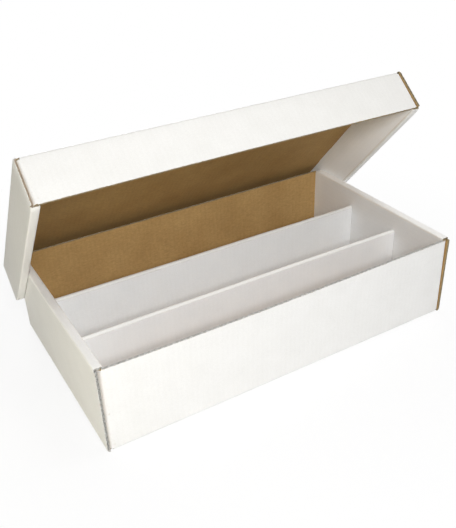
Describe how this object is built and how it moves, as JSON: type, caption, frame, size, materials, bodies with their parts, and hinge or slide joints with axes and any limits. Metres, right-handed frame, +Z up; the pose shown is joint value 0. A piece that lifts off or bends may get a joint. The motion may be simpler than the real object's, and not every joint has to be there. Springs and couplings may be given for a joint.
{
  "type": "card storage box",
  "caption": "Long corrugated card storage box with rolled ends, lengthwise dividers that form card rows, and a telescoping lid tilted open on the rear wall.",
  "frame": {"origin": "centre of the tray's underside, on the surface that the box stands on", "axes": "+X along the length to the right, +Y from the open front towards the rear wall, +Z up"},
  "size_m": [0.5028, 0.3152, 0.2943],
  "materials": {
    "white_board": "matte white liner",
    "kraft_board": "bare kraft liner"
  },
  "bodies": {
    "tray": {"tray_floor": "kraft_board", "tray_front_wall": "white_board", "tray_rear_wall": "white_board", "tray_front_left_flap": "kraft_board", "tray_front_right_flap": "kraft_board", "tray_rear_left_flap": "kraft_board", "tray_rear_right_flap": "kraft_board", "tray_left_end_panel": "white_board", "tray_left_end_crest": "white_board", "tray_left_end_lining": "white_board", "tray_right_end_panel": "white_board", "tray_right_end_crest": "white_board", "tray_right_end_lining": "white_board"},
    "lid": {"lid_top": "white_board", "lid_front_skirt": "white_board", "lid_rear_skirt": "white_board", "lid_front_left_flap": "kraft_board", "lid_front_right_flap": "kraft_board", "lid_rear_left_flap": "kraft_board", "lid_rear_right_flap": "kraft_board", "lid_left_end_panel": "white_board", "lid_left_end_crest": "white_board", "lid_left_end_lining": "white_board", "lid_right_end_panel": "white_board", "lid_right_end_crest": "white_board", "lid_right_end_lining": "white_board"},
    "front_divider": {"front_divider_front_leaf": "white_board", "front_divider_rear_leaf": "white_board", "front_divider_crest": "white_board"},
    "rear_divider": {"rear_divider_front_leaf": "white_board", "rear_divider_rear_leaf": "white_board", "rear_divider_crest": "white_board"}
  },
  "joints": [
    {"name": "lid_tilt", "type": "hinge", "parent": "tray", "child": "lid", "pos_m": [0, 0.1202, 0.05407], "axis": [-1, 0, 0], "range_deg": [-48.8, 0]},
    {"name": "front_divider_lift", "type": "slide", "parent": "tray", "child": "front_divider", "axis": [0, 0, 1], "range_m": [0, 0.024]},
    {"name": "rear_divider_lift", "type": "slide", "parent": "tray", "child": "rear_divider", "axis": [0, 0, 1], "range_m": [0, 0.024]}
  ]
}
